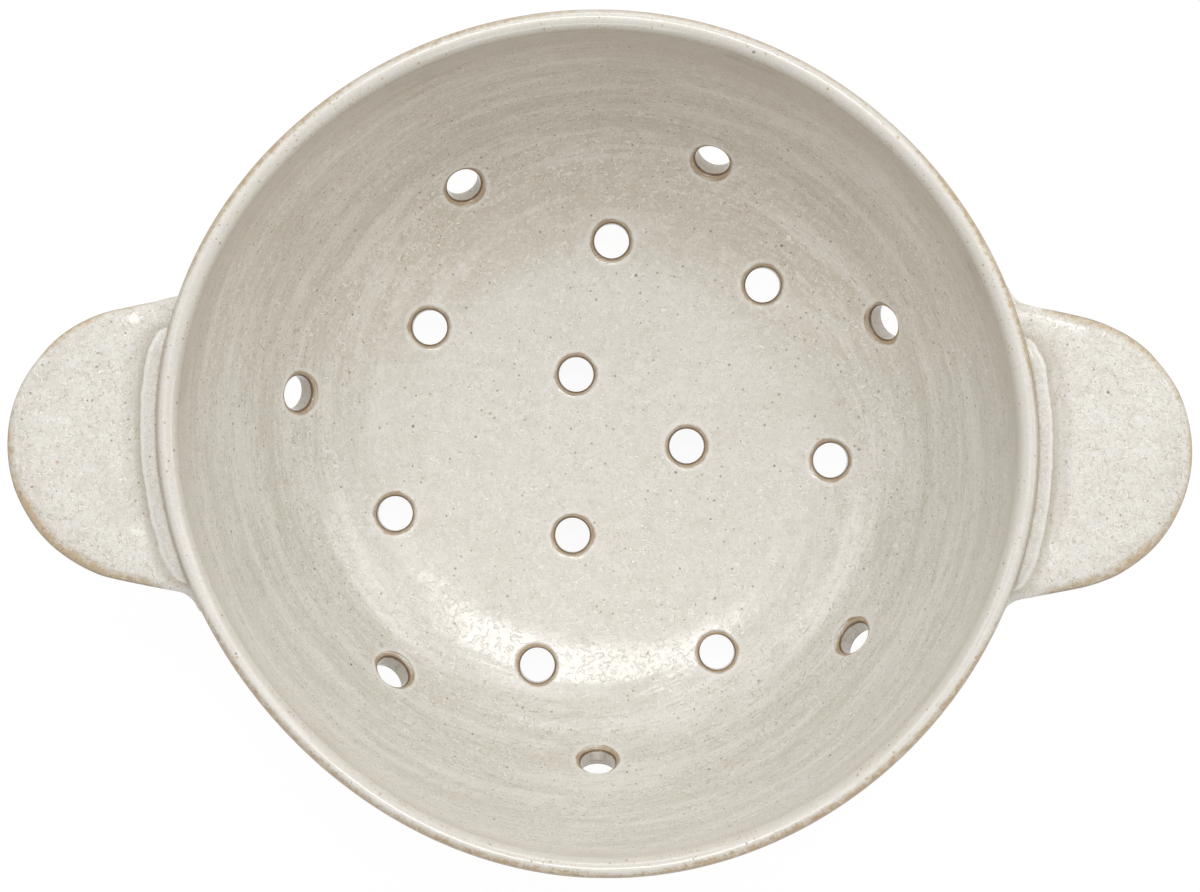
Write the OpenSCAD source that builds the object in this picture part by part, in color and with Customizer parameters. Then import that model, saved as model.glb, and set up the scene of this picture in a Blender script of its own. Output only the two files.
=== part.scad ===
// Berry colander bowl: a thrown stoneware bowl with drain holes, a foot ring and two flat handles.
// Millimetres, +Z up. The origin is on the table at the bowl's axis, and the handles lie along X.

/* [Bowl] */
// Outside diameter over the rolled lip
rim_d = 165; // [140:1:190]
// Height from the table to the top of the lip
bowl_h = 72; // [66:1:84]
// Thickness of the thrown wall
wall_t = 4.4; // [3.6:0.1:5.2]
// Thickness of the floor at its centre
floor_t = 5; // [4.6:0.1:7]
// How far the lip's outside stands out beyond the edge of the nearly flat floor
rim_overhang = 38.5; // [35:0.5:42]
// How far the floor rises from its centre to its edge
floor_rise = 1.9; // [1.4:0.1:3]
// Inside radius of the curve between floor and wall
curve_r = 24; // [18:1:28]
// Slope of the wall just under the lip, in degrees from level
lip_slope = 88; // [82:1:90]
// How far the rolled lip stands proud of the wall on each side
lip_roll = 0.25; // [0.15:0.05:0.8]

/* [Foot ring] */
// How far the foot ring stands in from the edge of the floor
foot_inset = 8; // [6:0.5:11]
// Width of the ring's standing face with its rounded edges
foot_w = 5; // [4:0.5:7]
// Height from the table to the underside's centre
foot_h = 6; // [4:0.5:9]
// Radius of the ring's rounded lower edges
foot_edge_r = 1; // [0.5:0.1:1.8]
// How much the ring widens on each side towards the underside
foot_flare = 0.8; // [0:0.1:2]

/* [Drain holes] */
// Diameter of every drain hole
hole_d = 7; // [5:0.5:9]
// Pitch circle diameter of the centre holes
centre_ring_d = 34.5; // [28:0.5:40]
// How far the pitch circle of the floor-edge holes lies outside the edge of the floor
edge_ring_offset = 1; // [-1:0.1:3]
// How much steeper than square to the wall the wall holes are cut, in degrees
wall_hole_lean = 4; // [0:1:10]

/* [Handles] */
// Overall length over both handles
overall_l = 226; // [205:1:250]
// Radius of the handle's rounded tip
handle_tip_r = 26.3; // [20:0.1:28]
// Width of the handle at its root
handle_w = 58.5; // [57:0.5:66]
// Thickness of the handle
handle_t = 6.5; // [5.5:0.5:9]
// Radius of the handle's rounded edges
handle_edge_r = 2.4; // [1:0.1:2.7]
// Depth of the handle's top face below the top of the lip
handle_drop = 4; // [3.4:0.1:8]
// Turn of the left handle about the bowl's axis from true, in degrees
left_turn = 0.3; // [-3:0.1:3]
// Turn of the right handle about the bowl's axis from true, in degrees
right_turn = -1.3; // [-3:0.1:3]

/* [Joints] */
// Thickness of the slip that lutes the pieces together
slip_t = 0.4; // [0.2:0.1:0.8]
// Radius of the clay coil in the corner over the left handle
left_coil_r = 3.1; // [1.6:0.1:3.2]
// Radius of the clay coil in the corner over the right handle
right_coil_r = 2.2; // [1.6:0.1:3.2]
// How far the flat of the handle runs on past the end of its coil
coil_inset = 1; // [0.5:0.1:4]

/* [Hidden] */

glaze_rgb = [0.87, 0.855, 0.81];
break_rgb = [0.70, 0.64, 0.55];
slip_rgb = [0.62, 0.55, 0.45];

// How far every cut runs past the piece that it cuts
overrun = 2;

// Steps along each stretch of the bowl's profile, and round the turned and rounded shapes
floor_steps = 3;
curve_steps = 9;
wall_steps = 8;
lip_steps = 12;
edge_steps = 4;
turn_fn = 144;
tip_fn = 64;
edge_fn = 16;
round_fn = 32;

// Angles of the drain holes about the bowl's axis, and their uneven places in and out
centre_hole_angles = [109.4, 253.5, 357.4];
centre_hole_shares = [0.845, 1.14, 1.02];
edge_hole_angles = [44, 86.7, 146, 199.2, 254.3, 299.1, 355.5];
edge_hole_shares = [1.018, 0.907, 0.924, 0.976, 1.042, 1.08, 1.04];
wall_hole_angles = [22.8, 68.3, 117.9, 170.8, 228, 269.6, 322.4];
// Slope of the wall where each wall hole's centre lies, in degrees from level
wall_hole_slopes = [47.5, 44.5, 37, 45.5, 48.5, 55.5, 56];

// Diameters that follow the rim through the floor
floor_d = rim_d - 2 * rim_overhang;
foot_d = floor_d - 2 * foot_inset;
edge_ring_d = floor_d + 2 * edge_ring_offset;

// The profile is three arcs that run smoothly into each other: floor, curve and wall
lip_r = wall_t / 2 + lip_roll;
lip_x = rim_d / 2 - lip_r;
lip_z = bowl_h - lip_r;
floor_z = foot_h + floor_t;
curve_c = [floor_d / 2, floor_z + floor_rise + curve_r];
wall_end = [lip_x, lip_z] - wall_t / 2 * slope_ray(lip_slope);
wall_reach = wall_end - curve_c;
wall_pull = wall_reach * slope_ray(lip_slope);
wall_r = (wall_reach * wall_reach - curve_r * curve_r) / (2 * (wall_pull - curve_r));
wall_c = wall_end - wall_r * slope_ray(lip_slope);
wall_slope = atan2((curve_c - wall_c)[0], (wall_c - curve_c)[1]);

// The handles' heights, and where their roots lie inside the wall
handle_top = bowl_h - handle_drop;
handle_z = handle_top - handle_t;
handle_tip_x = overall_l / 2 - handle_tip_r;
handle_root_r = 2 * handle_edge_r;
handle_root_x = sqrt(pow(rim_d / 2, 2) - pow(handle_w / 2, 2)) - handle_root_r;
handle_root_y = handle_w / 2 - handle_root_r;

// Radius of the outer wall at the height of the handles' tops
corner_x = wall_c[0] + sqrt(pow(wall_r + wall_t, 2) - pow(wall_c[1] - handle_top, 2));

// Unit vector square to a surface that slopes by an angle, pointing down and out
function slope_ray(slope) = [sin(slope), -cos(slope)];

// Points on an arc about a centre between two slopes, from its first step on
function arc_points(centre, radius, from, to, steps, first = 0) =
    [for (i = [first : steps]) centre + radius * slope_ray(from + (to - from) * i / steps)];

// Radius of the shallow floor arc, from its height on the axis to where it meets the curve
function dish_r(grow, centre_z) =
    let (rise = curve_c[1] - centre_z, radius = curve_r + grow)
    (pow(curve_c[0], 2) + pow(rise, 2) - pow(radius, 2)) / (2 * (rise - radius));

// The bowl's surface from the axis up to the lip, as far out of the inner surface as grow says
function shell_points(grow, centre_z) =
    let (radius = dish_r(grow, centre_z), edge = asin(curve_c[0] / (radius - curve_r - grow)))
    concat(
        arc_points([0, centre_z + radius], radius, 0, edge, floor_steps),
        arc_points(curve_c, curve_r + grow, edge, wall_slope, curve_steps, 1),
        arc_points(wall_c, wall_r + grow, wall_slope, lip_slope - lip_angle(0), wall_steps, 1)
    );

// Angle of the lip's bead, at its centre, below the line square to the wall
function lip_angle(clear) = acos((wall_t / 2 + clear) / (lip_r + clear));

// The bead from its outer foot to a slope over its top
function lip_points(clear, to) =
    arc_points([lip_x, lip_z], lip_r + clear, lip_slope - lip_angle(clear), to, lip_steps);

// Height of the inner surface at a radius on the nearly flat floor
function floor_height(x) =
    let (radius = dish_r(0, floor_z)) floor_z + radius - sqrt(pow(radius, 2) - pow(x, 2));

// The same points from last to first
function reversed(points) = [for (i = [len(points) - 1 : -1 : 0]) points[i]];

// Half section of all that the bowl's outside encloses, grown by a clearance
module filled_area(clear) {
    edge = concat(
        shell_points(wall_t + clear, foot_h - clear),
        lip_points(clear, 180)
    );
    polygon(concat(edge, [[0, lip_z + lip_r + clear]]));
}

module filled_bowl(clear) {
    rotate_extrude($fn = turn_fn)
        filled_area(clear);
}

// The thin layer against the bowl's outside that the slip fills
module slip_area() {
    difference() {
        filled_area(slip_t);
        filled_area(0);
    }
}

module thrown_shell() {
    rotate_extrude($fn = turn_fn)
        polygon(concat(
            shell_points(wall_t, foot_h),
            lip_points(0, lip_slope + 180 + lip_angle(0)),
            reversed(shell_points(0, floor_z))
        ));
}

module drain_hole(angle, x, z, tilt, depth) {
    rotate([0, 0, angle])
        translate([x, 0, z])
            rotate([0, -tilt, 0])
                cylinder(h = 2 * depth, d = hole_d, center = true, $fn = round_fn);
}

module floor_holes(angles, ring_d, shares) {
    for (i = [0 : len(angles) - 1]) {
        x = ring_d / 2 * shares[i];
        drain_hole(angles[i], x, floor_height(x), 0, floor_t + floor_rise + overrun);
    }
}

module wall_holes() {
    for (i = [0 : len(wall_hole_angles) - 1]) {
        slope = wall_hole_slopes[i];
        place = curve_c + curve_r * slope_ray(slope);
        drain_hole(wall_hole_angles[i], place[0], place[1], slope - wall_hole_lean, wall_t + overrun);
    }
}

module bowl_body() {
    color(glaze_rgb)
        difference() {
            thrown_shell();
            floor_holes(centre_hole_angles, centre_ring_d, centre_hole_shares);
            floor_holes(edge_hole_angles, edge_ring_d, edge_hole_shares);
            wall_holes();
        }
}

// Half section of the foot ring before the underside is cut out of it
module foot_area() {
    outer_x = foot_d / 2;
    inner_x = foot_d / 2 - foot_w;
    polygon(concat(
        arc_points([outer_x - foot_edge_r, foot_edge_r], foot_edge_r, 0, 90, edge_steps),
        [[outer_x + foot_flare, floor_z], [inner_x - foot_flare, floor_z]],
        arc_points([inner_x + foot_edge_r, foot_edge_r], foot_edge_r, 270, 360, edge_steps)
    ));
}

module foot_ring() {
    color(break_rgb)
        rotate_extrude($fn = turn_fn)
            difference() {
                foot_area();
                filled_area(slip_t);
            }
}

module foot_slip_joint() {
    color(slip_rgb)
        rotate_extrude($fn = turn_fn)
            intersection() {
                foot_area();
                slip_area();
            }
}

// A flat round of clay with rounded edges
module rounded_puck(radius) {
    for (z = [handle_edge_r, handle_t - handle_edge_r])
        translate([0, 0, z])
            rotate_extrude($fn = tip_fn)
                translate([radius - handle_edge_r, 0])
                    circle(r = handle_edge_r, $fn = edge_fn);
}

// The whole tongue of one handle, which runs on into the wall
module handle_blank() {
    translate([0, 0, handle_z])
        hull() {
            translate([handle_tip_x, 0, 0])
                rounded_puck(handle_tip_r);
            for (side = [-1, 1])
                translate([handle_root_x, side * handle_root_y, 0])
                    rounded_puck(handle_root_r);
        }
}

module handle_piece() {
    color(glaze_rgb)
        difference() {
            handle_blank();
            filled_bowl(slip_t);
        }
}

module slip_piece() {
    color(slip_rgb)
        intersection() {
            handle_blank();
            rotate_extrude($fn = turn_fn)
                slip_area();
        }
}

// A coil of clay pressed into the corner between a handle's top and the wall
module seam_coil(radius) {
    span = asin((handle_root_y + handle_root_r - handle_edge_r - radius - coil_inset) / corner_x);
    color(break_rgb)
        difference() {
            union() {
                rotate([0, 0, -span])
                    rotate_extrude(angle = 2 * span, $fn = turn_fn)
                        translate([corner_x, handle_top])
                            circle(r = radius, $fn = round_fn);
                for (end = [-span, span])
                    rotate([0, 0, end])
                        translate([corner_x, 0, handle_top])
                            sphere(r = radius, $fn = round_fn);
            }
            filled_bowl(0);
            translate([0, 0, handle_z])
                cylinder(h = handle_t, r = overall_l / 2, $fn = turn_fn);
        }
}

module on_left() {
    rotate([0, 0, 180 + left_turn])
        children();
}

module on_right() {
    rotate([0, 0, right_turn])
        children();
}

module left_handle() { on_left() handle_piece(); }
module left_slip_joint() { on_left() slip_piece(); }
module left_seam_coil() { on_left() seam_coil(left_coil_r); }
module right_handle() { on_right() handle_piece(); }
module right_slip_joint() { on_right() slip_piece(); }
module right_seam_coil() { on_right() seam_coil(right_coil_r); }

bowl_body();
foot_ring();
foot_slip_joint();
left_handle();
left_slip_joint();
left_seam_coil();
right_handle();
right_slip_joint();
right_seam_coil();
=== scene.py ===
from functools import partial, reduce
from math import asin, atan2, cos, degrees, pi, radians, sin, sqrt, tan
import bmesh
import bpy
import numpy as np
from mathutils import Matrix, Vector, noise


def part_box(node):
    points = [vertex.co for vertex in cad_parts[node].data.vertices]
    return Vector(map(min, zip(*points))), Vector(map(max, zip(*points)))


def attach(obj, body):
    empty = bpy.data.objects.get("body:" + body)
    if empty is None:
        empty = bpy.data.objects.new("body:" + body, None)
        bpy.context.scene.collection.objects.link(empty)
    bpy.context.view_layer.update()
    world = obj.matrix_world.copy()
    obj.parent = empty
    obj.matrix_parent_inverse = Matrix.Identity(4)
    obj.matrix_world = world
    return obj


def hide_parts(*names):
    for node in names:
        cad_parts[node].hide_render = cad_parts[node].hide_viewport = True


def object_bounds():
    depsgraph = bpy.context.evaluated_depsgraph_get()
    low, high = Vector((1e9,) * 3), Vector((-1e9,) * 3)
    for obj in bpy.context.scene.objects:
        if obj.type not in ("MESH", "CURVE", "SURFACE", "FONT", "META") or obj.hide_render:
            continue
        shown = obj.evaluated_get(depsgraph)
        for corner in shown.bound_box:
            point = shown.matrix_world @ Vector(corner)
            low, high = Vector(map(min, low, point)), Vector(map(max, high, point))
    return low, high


# Berry colander bowl: a thrown bowl, two luted handles, a foot ring and the seams between them.
# Metres. The potter's small errors are pushed into the clay after each piece is drawn true.

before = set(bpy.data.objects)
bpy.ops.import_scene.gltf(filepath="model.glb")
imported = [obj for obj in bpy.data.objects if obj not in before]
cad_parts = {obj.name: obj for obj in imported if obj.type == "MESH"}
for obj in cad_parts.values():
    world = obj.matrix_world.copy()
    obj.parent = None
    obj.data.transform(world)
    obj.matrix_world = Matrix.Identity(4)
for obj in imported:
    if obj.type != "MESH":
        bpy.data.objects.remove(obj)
cadLow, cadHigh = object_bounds()
bowlLow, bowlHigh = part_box("bowl_body")
rimRadius, rimHeight, underside = bowlHigh.x, bowlHigh.z, bowlLow.z
mm = 0.001

bowl = dict(
    floorThick=5.0 * mm,
    wallThick=4.4 * mm,
    floorRadius=rimRadius - 38.5 * mm,  # where the nearly flat floor ends
    floorRise=1.9 * mm,
    curveRadius=24.0 * mm,  # between floor and wall
    lipSlope=88.0,
    lipWidth=4.75 * mm,
    lipDepth=2.3 * mm,  # from its top to its widest
    lipOuter=1.6 * mm,  # the same, outward
    lipInnerDepth=3.2 * mm,  # deeper inside, where the lip is rounder
    lipSquareness=2.12,  # 2 is a round bead, more is flatter
    lipSteps=(12, 20),  # outside and inside
    cornerLift=0.6 * mm,  # clay left in the corner between floor and wall
    cornerPlaces=(39.5 * mm, 50 * mm, 74 * mm),  # where it starts, is highest and ends
    lipThin=0.75 * mm,  # how much the wall thins towards the lip
    lipThinPlaces=(22 * mm, 3 * mm),  # below the rim, where that starts and is full
    turns=288,
    arcSteps=(12, 14, 26),  # of the floor, the curve and the wall in the plan
    fineness=2,  # times finer than the plan
    lineFineness=3,  # the same, for setting holes and foot
)
# How far the rim is out of round: waves round the bowl as (count, size, turn in degrees)
outOfRound = dict(
    mean=82.82 * mm,
    waves=(
        (1, 0.249 * mm, 160.1), (2, 1.084 * mm, -52.6), (3, 0.532 * mm, 115.1), (4, 0.372 * mm, -25.9),
    ),
    offCentre=0.34 * mm,  # the whole pot, foot and all, stands this far back of the plan's axis
    power=1.5,  # how late the waves grow on the way up
    lipDrop=0.18 * mm,  # in two low places of the lip
    lipDropDepth=25 * mm,
    lipDropTurn=0.7,
)
holes = dict(
    radius=3.5 * mm,
    edge=0.95 * mm,  # radius of the sponged edges
    centreAngles=(109.4, 253.5, 357.4),
    centreRadii=(14.58 * mm, 19.67 * mm, 17.6 * mm),
    edgeAngles=(44, 86.7, 146, 199.2, 254.3, 299.1, 355.5),
    edgeRadii=(45.81 * mm, 40.82 * mm, 41.58 * mm, 43.92 * mm, 46.89 * mm, 48.6 * mm, 46.8 * mm),
    wallAngles=(22.8, 68.3, 117.9, 170.8, 228, 269.6, 322.4),
    wallSlopes=(47.5, 44.5, 37, 45.5, 48.5, 55.5, 56),
    wallLean=4.0,  # of the cutter, off square to the wall
    wallStart=3 * mm,  # the cutter's start, inside of the wall
    sides=48,
    boreRings=(-12, -0.9, -0.5, 0, 0.5, 0.9, 12),  # heights in mm
    edgeSteps=5,
    edgeStart=(0.94, -1.6),  # radius in bores, height in edges
    edgeEnd=(1.15, 2.5),  # out and height in edges
    markReach=13 * mm,
)
# The lengths that marks on the meshes hold as 0 to 1
marks = dict(run=20 * mm, bare=5 * mm)


def deselectAll():
    if bpy.context.object and bpy.context.object.mode != "OBJECT":
        bpy.ops.object.mode_set(mode="OBJECT")
    bpy.ops.object.select_all(action="DESELECT")


def makeActive(piece):
    deselectAll()
    piece.select_set(True)
    bpy.context.view_layer.objects.active = piece


def editMode(piece, what="VERT"):
    makeActive(piece)
    bpy.ops.object.mode_set(mode="EDIT")
    bpy.ops.mesh.select_mode(type=what)


def objectMode():
    bpy.ops.object.mode_set(mode="OBJECT")


def selectWhole():
    bpy.ops.mesh.select_all(action="SELECT")


def weld(distance):
    selectWhole()
    bpy.ops.mesh.remove_doubles(threshold=distance)


def faceOutward():
    selectWhole()
    bpy.ops.mesh.normals_make_consistent(inside=False)


def closeMesh():
    faceOutward()
    objectMode()


def pick(piece, test, what="verts"):
    shape = bmesh.from_edit_mesh(piece.data)
    for part in list(shape.verts) + list(shape.edges) + list(shape.faces):
        part.select = False
    for part in getattr(shape, what):
        if test(part):
            part.select_set(True)
    bmesh.update_edit_mesh(piece.data)


def modify(piece, kind, **settings):
    makeActive(piece)
    made = piece.modifiers.new(kind.lower(), kind)
    for key, value in settings.items():
        setattr(made, key, value)
    bpy.ops.object.modifier_apply(modifier=made.name)


def copyOf(piece, name):
    made = piece.copy()
    made.data = piece.data.copy()
    made.name = made.data.name = name
    bpy.context.collection.objects.link(made)
    return made


def discard(*pieces):
    for piece in pieces:
        bpy.data.objects.remove(piece, do_unlink=True)


def renameTo(piece, name):
    piece.name = piece.data.name = name
    return piece


def addShape(kind, name, **settings):
    # Its place and turn go into its mesh
    deselectAll()
    getattr(bpy.ops.mesh, f"primitive_{kind}_add")(**settings)
    piece = renameTo(bpy.context.object, name)
    bpy.ops.object.transform_apply()
    return piece


def readVectors(source, key):
    made = np.empty(len(source) * 3)
    source.foreach_get(key, made)
    return made.reshape(-1, 3)


def readPoints(piece):
    return readVectors(piece.data.vertices, "co")


def readNormals(piece):
    return readVectors(piece.data.vertex_normals, "vector")


def writePoints(piece, points):
    piece.data.vertices.foreach_set("co", points.ravel())
    piece.data.update()


def writeMark(piece, name, values):
    mark = piece.data.attributes.new(name, "FLOAT", "POINT")
    mark.data.foreach_set("value", np.clip(values, 0, 1).astype(np.float32))


def writeRun(piece, name, run):
    # A way along the surface, where 0.5 is the edge
    writeMark(piece, name, 0.5 + run / marks["run"])


def writeEdge(piece, run, bare):
    writeRun(piece, "edgeRun", run)
    writeMark(piece, "bareWidth", bare / marks["bare"])


def between(low, high, x):
    share = np.clip((x - low) / (high - low), 0, 1)
    return share * share * (3 - 2 * share)


def noiseAt(x, y, z):
    return np.array([noise.noise(place) for place in np.column_stack(np.broadcast_arrays(x, y, z))])


# The bowl's section, from the same arcs as the plan
def slopeRay(slope):
    return np.array((sin(radians(slope)), -cos(radians(slope))))


def arcRun(centre, radius, start, end, steps, first=0):
    slopes = [start + (end - start) * i / steps for i in range(first, steps + 1)]
    return [np.array(centre) + radius * slopeRay(slope) for slope in slopes]


lipRay = slopeRay(bowl["lipSlope"])
floorTop = underside + bowl["floorThick"]
curveCentre = np.array((bowl["floorRadius"], floorTop + bowl["floorRise"] + bowl["curveRadius"]))
lipWidest = rimHeight - bowl["lipDepth"]
lipCentre = np.array((rimRadius - bowl["lipWidth"] / 2, lipWidest))
wallEnd = lipCentre - bowl["wallThick"] / 2 * lipRay
reach = wallEnd - curveCentre
wallRadius = (reach @ reach - bowl["curveRadius"] ** 2) / (2 * (reach @ lipRay - bowl["curveRadius"]))
wallCentre = wallEnd - wallRadius * lipRay
wallSlope = degrees(atan2(curveCentre[0] - wallCentre[0], wallCentre[1] - curveCentre[1]))


def shellLine(grow, centreHeight, fine=1):
    # From the axis to the lip's foot
    rise = curveCentre[1] - centreHeight
    curve = bowl["curveRadius"] + grow
    dish = (curveCentre[0] ** 2 + rise ** 2 - curve ** 2) / (2 * (rise - curve))
    edge = degrees(asin(curveCentre[0] / (dish - curve)))
    floorSteps, curveSteps, wallSteps = (fine * steps for steps in bowl["arcSteps"])
    return (
        arcRun((0, centreHeight + dish), dish, 0, edge, floorSteps)
        + arcRun(curveCentre, curve, edge, wallSlope, curveSteps, 1)
        + arcRun(wallCentre, wallRadius + grow, wallSlope, bowl["lipSlope"], wallSteps, 1)
    )


def insideShape(fine):
    start, top, end = bowl["cornerPlaces"]
    thinStart, thinEnd = (rimHeight - depth for depth in bowl["lipThinPlaces"])
    made = []
    for radius, height in shellLine(0, floorTop, fine):
        lift = bowl["cornerLift"] * between(start, top, radius) * (1 - between(top, end, radius))
        thin = bowl["lipThin"] * between(thinStart, thinEnd, height)
        made.append(np.array((radius + thin, height + lift)))
    return made


insideLine = insideShape(bowl["lineFineness"])
outsideLine = shellLine(bowl["wallThick"], underside, bowl["lineFineness"])
lipTop = rimRadius - bowl["lipOuter"]
lipInnerFoot = rimHeight - bowl["lipInnerDepth"]
lipInnerRadius = np.interp(lipInnerFoot, [p[1] for p in insideLine], [p[0] for p in insideLine])


def lipRound(steps):
    # A quarter of its squarish round
    power = 2 / bowl["lipSquareness"]
    turns = [pi / 2 * i / steps for i in range(1, steps + 1)]
    return [(cos(turn) ** power, sin(turn) ** power) for turn in turns]


def lipOuterLine(grow):
    wide, deep = bowl["lipOuter"] + grow, bowl["lipDepth"] + grow
    return [np.array((lipTop + wide * a, lipWidest + deep * b)) for a, b in lipRound(bowl["lipSteps"][0])]


def lipInnerLine():
    wide, deep = lipTop - lipInnerRadius, bowl["lipInnerDepth"]
    quarter = lipRound(bowl["lipSteps"][1])[:-1]
    return [np.array((lipTop - wide * b, lipInnerFoot + deep * a)) for a, b in quarter]


def crossing(line, start, way, near=1e-9, level=1e-12):
    # Where a straight tool meets a section line, and the line's slope there
    for a, b in zip(line[:-1], line[1:]):
        grid = np.array(((way[0], a[0] - b[0]), (way[1], a[1] - b[1])))
        if abs(np.linalg.det(grid)) < level:
            continue
        along, share = np.linalg.solve(grid, a - start)
        if -near <= share <= 1 + near:
            return start + along * way, degrees(atan2(b[1] - a[1], b[0] - a[0]))
    raise ValueError("the tool misses the wall")


def drillList():
    # For each hole its angle, inner place and slope, outer place and slope
    cutters = []
    for group in ("centre", "edge"):
        for angle, radius in zip(holes[group + "Angles"], holes[group + "Radii"]):
            cutters.append((angle, np.array((radius, rimHeight)), np.array((0.0, -1.0))))
    for angle, slope in zip(holes["wallAngles"], holes["wallSlopes"]):
        place = curveCentre + bowl["curveRadius"] * slopeRay(slope)
        way = slopeRay(slope - holes["wallLean"])
        cutters.append((angle, place - holes["wallStart"] * way, way))
    return [
        (angle, *crossing(insideLine, start, way), *crossing(outsideLine, start, way))
        for angle, start, way in cutters
    ]


drills = drillList()


# The potter's errors
def outFromRound(angle, height):
    rise = np.clip((height - underside) / (rimHeight - underside), 0, 1)
    rim = outOfRound["mean"] + sum(
        size * np.cos(count * angle - radians(turn)) for count, size, turn in outOfRound["waves"]
    )
    return 1 + rise ** outOfRound["power"] * (rim / rimRadius - 1)


def pushOutOfRound(piece):
    points = readPoints(piece)
    x, y, z = points.T
    angle = np.arctan2(y, x)
    points[:, :2] *= outFromRound(angle, z)[:, None]
    y += outOfRound["offCentre"]
    nearLip = between(rimHeight - outOfRound["lipDropDepth"], rimHeight, z)
    z -= nearLip * outOfRound["lipDrop"] * (0.5 + 0.5 * np.sin(2 * angle + outOfRound["lipDropTurn"]))
    np.clip(y, cadLow.y, cadHigh.y, out=y)
    writePoints(piece, points)


def aroundPot(points):
    x, y = points[:, 0], points[:, 1] - outOfRound["offCentre"]
    return x, y, np.arctan2(y, x), np.hypot(x, y)


# Soft part rings from the fingers, longer round the bowl than they are tall
rings = dict(
    size=0.06 * mm,
    outside=0.6,  # their share there
    start=(14 * mm, 40 * mm),  # out from the axis, where they begin and are full
    end=(3.5 * mm, 1.5 * mm),  # below the rim, where they fade and are gone
    waves=((1.1, 4.5 * mm, 0, 1.0), (2.3, 2.2 * mm, 5, 0.6)),  # how long, how tall, a shift, share
)


def throwingRings(piece):
    points, normals = readPoints(piece), readNormals(piece)
    (x, y, z), (outX, outY, outZ) = points.T, normals.T
    radius = np.hypot(x, y)
    safe = np.maximum(radius, 1e-6)
    inside = ((outX * x + outY * y) / safe < 0.02) & (outZ > -0.2)
    fade, gone = (rimHeight - depth for depth in rings["end"])
    amount = np.where(inside, 1.0, rings["outside"])
    amount *= between(*rings["start"], radius) * (1 - between(fade, gone, z))
    push = sum(
        share * noiseAt(long * (x / safe) + shift, long * (y / safe), (radius + z) / tall)
        for long, tall, shift, share in rings["waves"]
    )
    writePoints(piece, points + normals * (push * amount * rings["size"])[:, None])


# Drawing tools
def extrudeBy(x, y, z):
    bpy.ops.mesh.extrude_region_move(TRANSFORM_OT_translate={"value": (x, y, z)})


def extrudeAlong(line, upright):
    # Draws on from the selected vertex, through (x, z) places or flat (x, y) ones
    for here, place in zip(line[:-1], line[1:]):
        out, side = place[0] - here[0], place[1] - here[1]
        extrudeBy(out, 0 if upright else side, side if upright else 0)


def throwOnWheel(name, line, closed=False, turns=bowl["turns"]):
    # Draws half a section and spins it round the axis
    piece = addShape("plane", name, size=mm, location=(line[0][0], 0, line[0][1]))
    editMode(piece)
    selectWhole()
    bpy.ops.mesh.merge(type="CENTER")
    extrudeAlong(line, upright=True)
    if closed:
        weld(0.001 * mm)
    selectWhole()
    bpy.ops.mesh.spin(steps=turns, angle=2 * pi, center=(0, 0, 0), axis=(0, 0, 1))
    weld(0.002 * mm)
    closeMesh()
    return piece


def turnCutter(name, profile):
    # A round cutter, drawn up through rings of (radius, height)
    (wide, low), *rest = profile
    circle = dict(vertices=holes["sides"], radius=wide, fill_type="NGON")
    piece = addShape("circle", name, location=(0, 0, low), **circle)
    editMode(piece, "FACE")
    selectWhole()
    for nextWide, high in rest:
        extrudeBy(0, 0, high - low)
        if nextWide != wide:
            bpy.ops.transform.resize(value=(nextWide / wide, nextWide / wide, 1))
        wide, low = nextWide, high
    closeMesh()
    return piece


def edgeProfile():
    # Widens as a quarter round up to the clay's surface at height 0
    radius, edge, steps = holes["radius"], holes["edge"], holes["edgeSteps"]
    (startWide, startLow), (endWide, endHigh) = holes["edgeStart"], holes["edgeEnd"]
    turns = [pi / 2 * i / steps for i in range(steps + 1)]
    quarter = [(radius + edge * (1 - cos(turn)), -edge + edge * sin(turn)) for turn in turns]
    return [(startWide * radius, startLow * edge), *quarter, (radius + endWide * edge, endHigh * edge)]


def setTool(tool, angle, place, tilt, name):
    # A copy at a place of the section, leaning by tilt
    made = copyOf(tool, name)
    made.data.transform(
        Matrix.Rotation(radians(angle), 4, "Z")
        @ Matrix.Translation((place[0], 0, place[1]))
        @ Matrix.Rotation(radians(tilt), 4, "Y")
    )
    return made


def joinAll(pieces, name):
    makeActive(pieces[0])
    for piece in pieces:
        piece.select_set(True)
    bpy.ops.object.join()
    return renameTo(bpy.context.object, name)


def cutBy(piece, tool, operation="DIFFERENCE", keep=False):
    modify(piece, "BOOLEAN", operation=operation, object=tool, solver="MANIFOLD")
    if not keep:
        discard(tool)


def keepLargest(piece):
    # Drops what a cut has left loose
    name = piece.name
    editMode(piece)
    bpy.ops.mesh.separate(type="LOOSE")
    objectMode()
    parts = sorted(bpy.context.selected_objects, key=lambda part: len(part.data.vertices))
    discard(*parts[:-1])
    return renameTo(parts[-1], name)


def drillHoles(piece):
    bore = turnCutter("boreTool", [(holes["radius"], height * mm) for height in holes["boreRings"]])
    flare = turnCutter("flareTool", edgeProfile())
    bores, inner, outer = [], [], []
    for number, (angle, inPlace, inSlope, outPlace, outSlope) in enumerate(drills):
        way = outPlace - inPlace
        tilt = degrees(atan2(-way[0], -way[1]))
        bores.append(setTool(bore, angle, (inPlace + outPlace) / 2, tilt, f"bore{number}"))
        inner.append(setTool(flare, angle, inPlace, -inSlope, f"inner{number}"))
        outer.append(setTool(flare, angle, outPlace, 180 - outSlope, f"outer{number}"))
    for group, name in ((bores, "bores"), (inner, "innerEdges"), (outer, "outerEdges")):
        cutBy(piece, joinAll(group, name))
    discard(bore, flare)


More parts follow.
